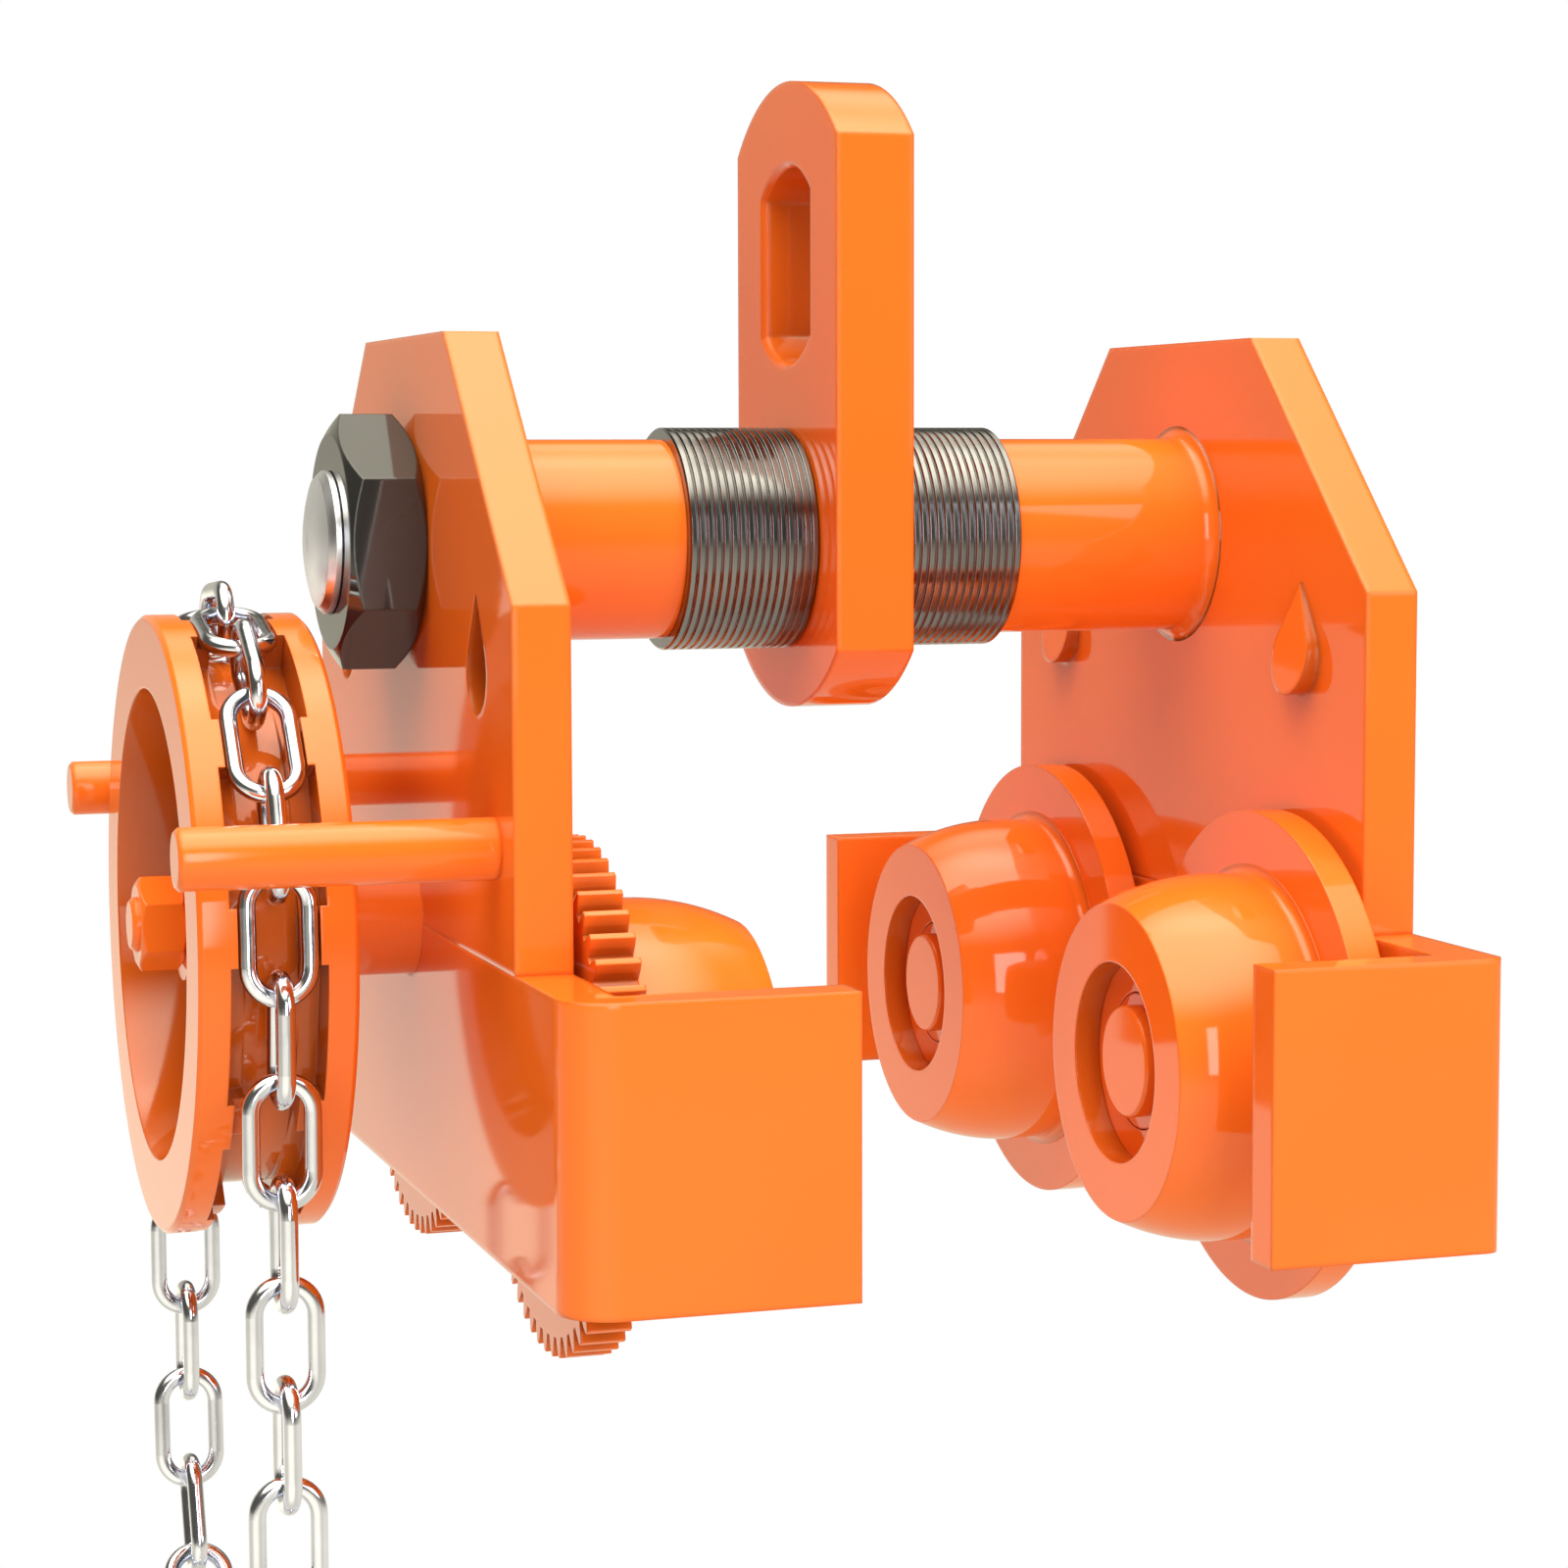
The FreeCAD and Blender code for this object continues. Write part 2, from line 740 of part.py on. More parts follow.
def last_race(side):
    return race_end(side) - size("bearing_width")


def wheel_outline(side):
    """Half section of a wheel: the seat of its pressed-on ring, a fillet, the crowned tread and the nose."""
    seat_end = ring_thick(side)
    length = seat_end + size("tread_length")
    crown_start = seat_end + size("tread_start_gap")
    crown = size("tread_crown_radius")
    fillet = size("flange_fillet")
    nose = half(size("nose_dia"))
    tread_start = half(size("tread_start_dia"))
    run = length - crown_start
    fall = nose - tread_start
    chord = square_root(run * run + fall * fall)
    rise = square_root(crown * crown - chord * chord / 4)
    centre_x = half(length + crown_start) + fall * rise / chord
    centre_radius = half(nose + tread_start) - run * rise / chord
    shoulder_end = seat_end + size("shoulder_land")
    aside = shoulder_end + fillet - centre_x
    above = square_root((crown + fillet) * (crown + fillet) - aside * aside)
    shoulder = centre_radius + above
    tread_x = centre_x + aside * crown / (crown + fillet)
    tread_radius = centre_radius + above * crown / (crown + fillet)
    seat = half(size("ring_seat_dia"))
    recess_floor = race_end(side)
    groove_end = FIRST_RACE
    groove_start = size("circlip_land")
    groove_radius = TREAD_BORE + size("circlip_groove")
    recess = half(size("recess_dia"))
    return [
        (ZERO, TREAD_BORE), (groove_start, TREAD_BORE), (groove_start, groove_radius),
        (groove_end, groove_radius), (groove_end, TREAD_BORE), (recess_floor, TREAD_BORE),
        (recess_floor, recess), (length, recess), (length, nose, crown), (tread_x, tread_radius, -fillet),
        (shoulder_end, shoulder), (seat_end, shoulder), (seat_end, seat), (ZERO, seat),
    ]


def standing(piece, side, y, inset=ZERO):
    """Puts a piece made along +X against the inner face of the plate on that side."""
    x = (-PLATE_INNER + inset) if side < 0 else (RIGHT_INNER - inset)
    return place(piece, x, y, WHEEL_Z, UPRIGHT if side < 0 else HALF_TURN)


RING_BORE = half(size("ring_seat_dia")) + SEATED


def wheel_place(end):
    """Where a wheel stands along the beam; end is -1 for the front wheel, 1 for the rear one."""
    return WHEEL_Y if end > 0 else -WHEEL_Y


def wheel_blank(side, end):
    return standing(turned(wheel_outline(side)), side, wheel_place(end), size("wheel_gap"))


def gear_ring(end):
    """The toothed ring pressed on a wheel of the driven side."""
    teeth = toothed_disc(SIZES["gear_teeth"], mesh_phase(end), ring_thick(-1).value, RING_BORE.value)
    return standing(feature(teeth), -1, wheel_place(end), size("wheel_gap"))


def flange_ring(end):
    """The plain ring pressed on a wheel of the other side, as large as the gears."""
    outline = ring(RING_BORE, FLANGE_RADIUS, ZERO, ring_thick(1))
    return standing(turned(outline), 1, wheel_place(end), size("wheel_gap"))


def race_rings(outlines, side, y):
    return group(*[standing(turned(outline), side, y, size("wheel_gap")) for outline in outlines])


def sealed_outer_race(start):
    """An outer race with a shield at each end that closes the space over the balls."""
    end = start + size("bearing_width")
    shield = size("bearing_shield")
    lip = INNER_RACE_RADIUS + SIDE
    bore = TREAD_BORE - size("bearing_race_wall")
    radius = TREAD_BORE - SEATED
    return [
        (start, lip), (start + shield, lip), (start + shield, bore), (end - shield, bore),
        (end - shield, lip), (end, lip), (end, radius), (start, radius),
    ]


def inner_race(start):
    bore = half(size("bearing_bore")) + SEATED
    return ring(bore, INNER_RACE_RADIUS, start, start + size("bearing_width"))


def axle(side):
    """The pin welded into a blind seat in the bracket; its collar holds the inner races off the web."""
    journal = half(size("bearing_bore"))
    collar = half(size("axle_collar_dia"))
    spigot = half(size("axle_spigot_dia"))
    collar_end = size("wheel_gap") + FIRST_RACE
    journal_end = size("wheel_gap") + race_end(side)
    tip = journal_end + size("axle_spigot_length")
    start = -size("axle_seat_depth")
    return turned([
        (start, ZERO), (tip, ZERO), (tip, spigot), (journal_end, spigot), (journal_end, journal),
        (collar_end, journal), (collar_end, collar), (ZERO, collar), (ZERO, journal), (start, journal),
    ])


def end_cap(side):
    """The disc on the axle's end that keeps the bearings on."""
    start = size("wheel_gap") + race_end(side)
    end = start + size("end_cap_thick")
    socket = half(size("axle_spigot_dia")) + SEATED
    floor = start + size("axle_spigot_length") + SEATED
    radius = half(size("end_cap_dia"))
    bevel = size("end_cap_chamfer")
    return turned([
        (start, socket), (floor, socket), (floor, ZERO), (end, ZERO), (end, radius - bevel),
        (end - bevel, radius), (start, radius),
    ])


def circlip(side, y):
    """A split ring in the groove behind the bearings."""
    end = size("wheel_gap") + FIRST_RACE - SEATED
    start = end - size("circlip_thick") + SEATED * 2
    radius = TREAD_BORE + size("circlip_groove") - SEATED
    split = standing(turned(ring(radius - size("circlip_width"), radius, start, end)), side, y)
    mouth = size("circlip_mouth")
    x = -PLATE_INNER - OVERRUN if side < 0 else RIGHT_INNER - end - OVERRUN
    box = block((end + OVERRUN * 2, mouth, radius * 2), (x, y - half(mouth), WHEEL_Z))
    return cut(split, box)


def wheel_set(name, side, end):
    y = wheel_place(end)
    spacer_bore = half(size("bearing_bore")) + SEATED
    spacer_start = FIRST_RACE + size("bearing_width")
    spacer_wall = size("race_spacer_wall")
    spacer = turned(ring(spacer_bore, spacer_bore + spacer_wall, spacer_start, last_race(side)))
    races = (FIRST_RACE, last_race(side))
    node(name, wheel_blank(side, end))
    node(f"{name}_ring", gear_ring(end) if side < 0 else flange_ring(end))
    node(f"{name}_outer_races", race_rings([sealed_outer_race(start) for start in races], side, y))
    node(f"{name}_inner_races", race_rings([inner_race(start) for start in races], side, y))
    node(f"{name}_race_spacer", standing(spacer, side, y, size("wheel_gap")))
    node(f"{name}_axle", standing(axle(side), side, y))
    node(f"{name}_end_cap", standing(end_cap(side), side, y))
    node(f"{name}_circlip", circlip(side, y))


wheel_set("front_gear_wheel", -1, -1)
wheel_set("rear_gear_wheel", -1, 1)
wheel_set("front_plain_wheel", 1, -1)
wheel_set("rear_plain_wheel", 1, 1)


# chain wheel drive; lengths run outwards from the outer face of the left plate

DRIVE_RADIUS = half(size("drive_shaft_dia"))
HUB_END = CHAIN_WHEEL_OUTER - size("chain_wheel_hub_set_back")
HOUSING_END = CHAIN_WHEEL_INNER - size("drive_washer_thick")
PINION_START = PLATE_INNER - size("wheel_gap")
PINION_END = PINION_START - size("pinion_face")


def driven(piece):
    return place(piece, z=DRIVE_Z)


def pocket(number, floor):
    """One of the wide pockets in the rim, under a link that stands on edge."""
    step = FULL_CIRCLE / SIZES["pocket_count"]
    turn = step * (number + HALF_SHARE) - SIZES["chain_lead_angle"]
    box = doc.addObject("Part::Box", "Pocket")
    depth = half(size("chain_wheel_dia")) - floor + OVERRUN
    bind(box, "Length", size("pocket_width"))
    bind(box, "Width", size("pocket_length"))
    bind(box, "Height", depth)
    rotation = FreeCAD.Rotation(X_AXIS, turn - RIGHT_ANGLE)
    corner = FreeCAD.Vector(0, -half(size("pocket_length")).value, floor.value)
    offset = rotation.multVec(corner)
    x = CHAIN_X.value - half(size("pocket_width")).value
    box.Placement = FreeCAD.Placement(FreeCAD.Vector(x, offset.y, DRIVE_Z.value + offset.z), rotation)
    return box


def chain_wheel():
    """A dished wheel with a stepped groove; flat links lie sunk in the lugs between its pockets."""
    rim = half(size("chain_wheel_dia"))
    bevel = size("rim_bevel")
    lug_top = CHAIN_RADIUS - half(size("chain_wire_dia")) - SIDE
    floor = CHAIN_RADIUS - half(size("chain_link_width")) - size("groove_floor_gap")
    wide = half(size("chain_link_width")) + SIDE
    narrow = half(size("groove_neck_width"))
    outer = -CHAIN_WHEEL_OUTER
    inner = -CHAIN_WHEEL_INNER
    dish = outer + size("dish_depth")
    back = dish + size("chain_wheel_web")
    hub = half(size("chain_wheel_hub_dia"))
    dish_floor = floor - size("rim_wall")
    mouth = dish_floor + size("dish_draft")
    bore = DRIVE_RADIUS + SEATED
    body = driven(turned([
        (-HUB_END, bore), (inner, bore), (inner, hub), (back, hub), (back, dish_floor), (inner, mouth),
        (inner, rim - bevel), (inner - bevel, rim), (CHAIN_X + wide, rim), (CHAIN_X + wide, lug_top),
        (CHAIN_X + narrow, lug_top), (CHAIN_X + narrow, floor), (CHAIN_X - narrow, floor),
        (CHAIN_X - narrow, lug_top), (CHAIN_X - wide, lug_top), (CHAIN_X - wide, rim), (outer + bevel, rim),
        (outer, rim - bevel), (outer, mouth), (dish, dish_floor), (dish, hub), (-HUB_END, hub),
    ]))
    pockets = [pocket(number, floor) for number in range(int(SIZES["pocket_count"]))]
    return cut(body, key_block(-HUB_END, size("key_length"), SEATED), *pockets)


def key_block(start, length, room):
    """The key on top of the drive shaft, or with room around it the slot that it needs."""
    width = size("key_width") + room * 2
    height = size("key_height") + room * 2
    low = DRIVE_Z + DRIVE_RADIUS - half(size("key_height")) - room
    return block((length + room, width, height), (start, -half(width), low))


def drive_shaft():
    thread = half(size("drive_thread_dia"))
    bevel = thread * SHAFT_BEVEL_SHARE
    shoulder = -HUB_END + SEATED
    nut_end = -HUB_END - size("drive_washer_thick") - size("drive_nut_height") - size("drive_nut_overhang")
    groove = -PINION_END
    groove_end = groove + size("circlip_thick")
    inner_end = groove_end + size("drive_shaft_tail")
    groove_radius = DRIVE_RADIUS - size("drive_circlip_groove")
    body = driven(turned([
        (nut_end, ZERO), (inner_end, ZERO), (inner_end, DRIVE_RADIUS), (groove_end, DRIVE_RADIUS),
        (groove_end, groove_radius), (groove, groove_radius), (groove, DRIVE_RADIUS),
        (shoulder, DRIVE_RADIUS), (shoulder, thread), (nut_end + bevel, thread), (nut_end, thread - bevel),
    ]))
    wheel_slot = key_block(-HUB_END, size("key_length"), SEATED)
    return cut(body, wheel_slot, key_block(-PINION_START, size("pinion_face"), SEATED))


def pinion():
    bore = DRIVE_RADIUS + SEATED
    teeth = toothed_disc(SIZES["pinion_teeth"], PINION_PHASE, size("pinion_face").value, bore.value)
    disc = feature(teeth)
    place(disc, -PINION_START, ZERO, DRIVE_Z)
    return cut(disc, key_block(-PINION_START, size("pinion_face"), SEATED))


SHAFT_BEVEL_SHARE = 0.15
thread_bore = half(size("drive_thread_dia")) + SEATED
washer_radius = half(size("drive_washer_dia"))
bush_bore = DRIVE_RADIUS + RUNNING
bush_radius = half(size("bush_dia"))
shaft_hole = DRIVE_RADIUS + SEATED
washer_outer = -HUB_END - size("drive_washer_thick")
clip_start = -PINION_END + SEATED
clip_end = clip_start + size("circlip_thick") - SEATED * 2
clip_bore = DRIVE_RADIUS - size("drive_circlip_groove") + SEATED
clip_radius = half(size("drive_circlip_dia"))
housing_radius = half(size("housing_dia"))
thrust_radius = half(size("thrust_ring_dia"))
nut_start = washer_outer - size("drive_nut_height")
drive_nut = chamfered_nut(size("drive_nut_flats"), size("drive_nut_height"), thread_bore, nut_start, DRIVE_Z)
housing = ring(bush_radius + SEATED, housing_radius, -HOUSING_END, -PLATE_INNER)
outer_thrust = ring(shaft_hole, thrust_radius, -CHAIN_WHEEL_INNER, -HOUSING_END - SIDE)
inner_thrust = ring(shaft_hole, thrust_radius, -PLATE_INNER + SIDE, -PINION_START)

node("chain_wheel", chain_wheel())
node("drive_shaft", drive_shaft())
node("drive_pinion", pinion())
node("chain_wheel_key", key_block(-HUB_END + SEATED, size("key_length") - SEATED, ZERO))
node("pinion_key", key_block(-PINION_START + SEATED, size("pinion_face") - SEATED * 2, ZERO))
node("drive_washer", driven(turned(ring(thread_bore, washer_radius, washer_outer, -HUB_END))))
node("drive_nut", drive_nut)
node("drive_bearing_housing", driven(turned(housing)))
node("drive_bush", driven(turned(ring(bush_bore, bush_radius, -HOUSING_END, -PLATE_INNER))))
node("outer_thrust_ring", driven(turned(outer_thrust)))
node("inner_thrust_ring", driven(turned(inner_thrust)))
node("pinion_circlip", driven(turned(ring(clip_bore, clip_radius, clip_start, clip_end))))


# guide rods

def guide_rod(end):
    """A rod that keeps the chain on its wheel; end is -1 in front, 1 behind."""
    radius = half(size("rod_dia"))
    y = CHAIN_RADIUS + half(size("chain_link_width")) + size("rod_chain_clearance") + radius
    bevel = size("rod_chamfer")
    tip = -PLATE_OUTER - size("rod_length")
    rod = turned([
        (tip, ZERO), (-PLATE_OUTER, ZERO), (-PLATE_OUTER, radius), (tip + bevel, radius),
        (tip, radius - bevel),
    ])
    return place(rod, ZERO, y * end, SHAFT_Z - size("rod_drop"))


node("front_guide_rod", guide_rod(-1))
node("rear_guide_rod", guide_rod(1))


# hand chain

def chain_link():
    """One welded link about the origin: long along Y, wide along X."""
    wire = half(size("chain_wire_dia")).value
    bend = half(size("chain_link_width")).value - wire
    reach = half(size("chain_pitch") + size("chain_link_slack")).value + wire - bend
    across = FreeCAD.Vector(bend, 0, 0)
    along = FreeCAD.Vector(0, reach, 0)
    tip = FreeCAD.Vector(0, reach + bend, 0)
    path = Part.Wire([
        Part.LineSegment(across - along, across + along).toShape(),
        Part.Arc(across + along, tip, along - across).toShape(),
        Part.LineSegment(along - across, -across - along).toShape(),
        Part.Arc(-across - along, -tip, across - along).toShape(),
    ])
    section = Part.Wire(Part.makeCircle(wire, across - along, Y_AXIS))
    return path.makePipeShell([section], True, True)


def chain_corners():
    """Points (y, z) about the drive's axis where the links of the endless loop meet."""
    pitch = size("chain_pitch").value
    turn = LINK_TURN.value
    radius = half(size("chain_pitch")).value / math.sin(math.radians(half(LINK_TURN).value))
    first = half(LINK_TURN).value - SIZES["chain_lead_angle"]
    half_wrap = int(SIZES["pocket_count"])
    strand = int(SIZES["chain_strand_links"])
    drop = pitch * strand
    around = []
    for number in range(half_wrap * 2 + 1):
        angle = math.radians(first + turn * number)
        around.append((radius * math.cos(angle), radius * math.sin(angle)))
    upper = around[:half_wrap + 1]
    lower = [(y, z - drop) for y, z in around[half_wrap:]]
    front = [(upper[-1][0], upper[-1][1] - pitch * number) for number in range(1, strand)]
    rear = [(lower[-1][0], lower[-1][1] + pitch * number) for number in range(1, strand)]
    return upper + front + lower + rear


def hand_chain():
    """The loop of links, which lie flat and stand on edge in turn."""
    link = chain_link()
    corners = [FreeCAD.Vector(0, y, z) for y, z in chain_corners()]
    links = []
    for number, start in enumerate(corners):
        end = corners[(number + 1) % len(corners)]
        along = end - start
        rotation = FreeCAD.Rotation(X_AXIS, math.degrees(math.atan2(along.z, along.y)))
        if number % 2 == 0:
            rotation = rotation * FreeCAD.Rotation(Y_AXIS, RIGHT_ANGLE)
        copy = link.copy()
        copy.Placement = FreeCAD.Placement((start + end) / 2, rotation)
        links.append(copy)
    chain = feature(Part.makeCompound(links))
    return place(chain, CHAIN_X, ZERO, DRIVE_Z)


node("hand_chain", hand_chain())


# checks and files

doc.recompute()
for thing in doc.Objects:
    if "Invalid" in thing.State or "Error" in thing.State:
        raise RuntimeError(f"{thing.Name} ({thing.Label}) did not build: {thing.State}")
for piece in parts:
    if piece.Shape.isNull() or not piece.Shape.isValid() or not piece.Shape.Solids:
        raise RuntimeError(f"{piece.Label} has no valid solid")

os.makedirs("parts", exist_ok=True)
for piece in parts:
    piece.Shape.exportStep(f"parts/{piece.Label}.step")
print(f"{len(parts)} sub-parts written")
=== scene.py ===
"""Looks of the geared beam trolley: finishes, studio light and the photo's camera."""
import json
import math

import bpy
from mathutils import Matrix, Vector


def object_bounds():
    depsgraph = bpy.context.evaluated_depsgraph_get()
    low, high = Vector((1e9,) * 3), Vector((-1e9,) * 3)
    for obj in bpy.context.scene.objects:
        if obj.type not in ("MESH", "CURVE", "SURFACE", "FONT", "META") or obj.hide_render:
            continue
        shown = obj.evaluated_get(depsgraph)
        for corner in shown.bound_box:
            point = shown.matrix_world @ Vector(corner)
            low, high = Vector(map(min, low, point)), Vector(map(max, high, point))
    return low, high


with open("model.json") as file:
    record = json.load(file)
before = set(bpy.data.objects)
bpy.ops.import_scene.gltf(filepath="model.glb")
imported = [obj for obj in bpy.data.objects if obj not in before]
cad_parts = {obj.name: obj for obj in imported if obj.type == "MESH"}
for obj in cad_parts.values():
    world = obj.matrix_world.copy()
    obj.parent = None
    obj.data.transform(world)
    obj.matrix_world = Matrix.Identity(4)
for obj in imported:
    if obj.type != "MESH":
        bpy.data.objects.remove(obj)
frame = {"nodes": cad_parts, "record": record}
cad_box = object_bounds()
nodes = frame["nodes"]
scene = bpy.context.scene

MM = 0.001

# the photo's camera, fitted to the object's own edges
CAMERA_PLACE = Vector((-0.3577, -1.0558, -0.0581))
CAMERA_YAW = math.radians(18.089)
CAMERA_PITCH = math.radians(5.14)
CAMERA_ROLL = math.radians(-0.153)
CAMERA_LENS = 83.29
CAMERA_SENSOR = 36.0


def make_camera():
    data = bpy.data.cameras.new("photo_camera")
    data.lens = CAMERA_LENS
    data.sensor_width = CAMERA_SENSOR
    data.sensor_fit = "AUTO"
    data.clip_start = 0.01
    data.clip_end = 100.0
    level = math.cos(CAMERA_PITCH)
    across = math.sin(CAMERA_YAW)
    along = math.cos(CAMERA_YAW)
    ahead = Vector((across * level, along * level, -math.sin(CAMERA_PITCH)))
    right = Vector((along, -across, 0.0))
    up = right.cross(ahead)
    tilted_right = right * math.cos(CAMERA_ROLL) + up * math.sin(CAMERA_ROLL)
    tilted_up = up * math.cos(CAMERA_ROLL) - right * math.sin(CAMERA_ROLL)
    axes = Matrix((tilted_right, tilted_up, -ahead)).transposed().to_4x4()
    camera = bpy.data.objects.new("photo_camera", data)
    camera.matrix_world = Matrix.Translation(CAMERA_PLACE) @ axes
    scene.collection.objects.link(camera)
    scene.camera = camera


# materials

# how far edges look rounded
PLATE_EDGE = 2.2 * MM
FINE_EDGE = 0.9 * MM
STEEL_EDGE = 0.3 * MM
EDGE_SAMPLES = 6

# the part of a noise's values that is spread over a range or a pair of tones
NOISE_LOW = 0.3
NOISE_HIGH = 0.7

# how a noise is stretched: into lines round X, or not at all
AROUND_X = (1.0, 0.06, 0.06)
EVEN = (1.0, 1.0, 1.0)

# scales of the noises, in waves per metre
PAINT_CLOUDS = 9.0
PAINT_SHEEN = 60.0
PAINT_GRAIN = 420.0
METAL_CLOUDS = 35.0

PAINT_ROUGHNESS = (0.3, 0.4)
PAINT_PEEL = 0.006 * MM
COAT_ROUGHNESS = 0.06
METAL_GRAIN_HEIGHT = 0.01 * MM

# painted shade: the paint's darker tone in hollows, set by an occlusion node: how far off a wall
# counts, and the openness where the painted shade is full or gone
PAINTED_SHADE_SAMPLES = 8
PAINTED_SHADE_REACH = 100.0 * MM
PAINTED_SHADE_FULL = 0.45
PAINTED_SHADE_NONE = 0.95


class Nodes:
    """A small helper that adds nodes to a material and joins them."""

    def __init__(self, material):
        material.use_nodes = True
        self.tree = material.node_tree
        self.shader = self.tree.nodes["Principled BSDF"]
        self.place = self.add("ShaderNodeTexCoord").outputs["Object"]

    def add(self, kind, **settings):
        made = self.tree.nodes.new(kind)
        for name, value in settings.items():
            setattr(made, name, value)
        return made

    def join(self, source, target):
        self.tree.links.new(source, target)

    def noise(self, scale, detail, stretch=EVEN):
        mapping = self.add("ShaderNodeMapping")
        mapping.inputs["Scale"].default_value = stretch
        self.join(self.place, mapping.inputs["Vector"])
        texture = self.add("ShaderNodeTexNoise")
        texture.inputs["Scale"].default_value = scale
        texture.inputs["Detail"].default_value = detail
        self.join(mapping.outputs["Vector"], texture.inputs["Vector"])
        return texture.outputs["Fac"]

    def spread(self, source, low, high):
        """Maps the middle of a noise onto a range."""
        ranged = self.add("ShaderNodeMapRange")
        ranged.inputs["From Min"].default_value = NOISE_LOW
        ranged.inputs["From Max"].default_value = NOISE_HIGH
        ranged.inputs["To Min"].default_value = low
        ranged.inputs["To Max"].default_value = high
        self.join(source, ranged.inputs["Value"])
        return ranged.outputs["Result"]

    def tint(self, source, dark, light):
        """Maps the middle of a noise onto two tones."""
        ramp = self.add("ShaderNodeValToRGB")
        first, last = ramp.color_ramp.elements
        first.position = NOISE_LOW
        last.position = NOISE_HIGH
        first.color = (*dark, 1.0)
        last.color = (*light, 1.0)
        self.join(source, ramp.inputs["Fac"])
        return ramp.outputs["Color"]

    def painted_shade_in_hollows(self, colour, painted_shade_tone):
        """A colour that turns into a darker one inside the piece's own hollows: painted shade,
        driven by ambient occlusion.
        """
        # painted shade: the less open the surface, the more the colour darkens
        openness = self.add("ShaderNodeAmbientOcclusion", samples=PAINTED_SHADE_SAMPLES, only_local=True)
        openness.inputs["Distance"].default_value = PAINTED_SHADE_REACH
        share = self.add("ShaderNodeMapRange")
        share.inputs["From Min"].default_value = PAINTED_SHADE_FULL
        share.inputs["From Max"].default_value = PAINTED_SHADE_NONE
        self.join(openness.outputs["AO"], share.inputs["Value"])
        mixed = self.add("ShaderNodeMixRGB")
        self.join(share.outputs["Result"], mixed.inputs["Fac"])
        mixed.inputs["Color1"].default_value = (*painted_shade_tone, 1.0)
        self.join(colour, mixed.inputs["Color2"])
        return mixed.outputs["Color"]

    def rounded(self, edge_radius):
        """The surface's direction, turned near its edges as if they were rounded."""
        bevel = self.add("ShaderNodeBevel", samples=EDGE_SAMPLES)
        bevel.inputs["Radius"].default_value = edge_radius
        return bevel.outputs["Normal"]

    def bump(self, source, height, base):
        bumped = self.add("ShaderNodeBump")
        bumped.inputs["Strength"].default_value = 1.0
        bumped.inputs["Distance"].default_value = height
        self.join(source, bumped.inputs["Height"])
        self.join(base, bumped.inputs["Normal"])
        self.join(bumped.outputs["Normal"], self.shader.inputs["Normal"])


def new_material(name):
    material = bpy.data.materials.new(name)
    return material, Nodes(material)


def gloss_paint(name, painted_shade_tone, dark, light, coat_index, edge_radius):
    """Sprayed enamel: a faintly clouded colour with painted shade in its hollows, under a
    mirror-like coat.
    """
    material, made = new_material(name)
    shader = made.shader
    clouds = made.tint(made.noise(PAINT_CLOUDS, 3.0), dark, light)
    # painted shade: the clouded colour darkens in the piece's own hollows
    made.join(made.painted_shade_in_hollows(clouds, painted_shade_tone), shader.inputs["Base Color"])
    sheen = made.spread(made.noise(PAINT_SHEEN, 3.0), *PAINT_ROUGHNESS)
    made.join(sheen, shader.inputs["Roughness"])
    rounded = made.rounded(edge_radius)
    made.bump(made.noise(PAINT_GRAIN, 1.0), PAINT_PEEL, rounded)
    made.join(rounded, shader.inputs["Coat Normal"])
    shader.inputs["Specular IOR Level"].default_value = 0.0
    shader.inputs["Coat Weight"].default_value = 1.0
    shader.inputs["Coat IOR"].default_value = coat_index
    shader.inputs["Coat Roughness"].default_value = COAT_ROUGHNESS
    return material


def bare_metal(name, dark, light, roughness, grain, stretch):
    """Steel, zinc or bronze with a fine grain, turned about X or even."""
    material, made = new_material(name)
    shader = made.shader
    lines = made.noise(grain, 3.0, stretch)
    clouds = made.tint(made.noise(METAL_CLOUDS, 4.0), dark, light)
    made.join(clouds, shader.inputs["Base Color"])
    made.join(made.spread(lines, *roughness), shader.inputs["Roughness"])
    made.bump(lines, METAL_GRAIN_HEIGHT, made.rounded(STEEL_EDGE))
    shader.inputs["Metallic"].default_value = 1.0
    return material


# tones of the paints: the painted shade in hollows, and the two of their clouds
ORANGE_TONES = ((0.4, 0.07, 0.0072), (0.88, 0.157, 0.0162), (0.91, 0.169, 0.0175))
BLACK_TONES = ((0.014, 0.014, 0.015), (0.018, 0.0179, 0.0189), (0.028, 0.0273, 0.0287))
ORANGE_COAT_INDEX = 1.45
BLACK_COAT_INDEX = 1.68

ORANGE = gloss_paint("orange_enamel", *ORANGE_TONES, ORANGE_COAT_INDEX, PLATE_EDGE)
FINE_ORANGE = gloss_paint(
    "orange_enamel_on_small_forms", *ORANGE_TONES, ORANGE_COAT_INDEX, FINE_EDGE)
BLACK = gloss_paint("blackened_steel", *BLACK_TONES, BLACK_COAT_INDEX, FINE_EDGE)

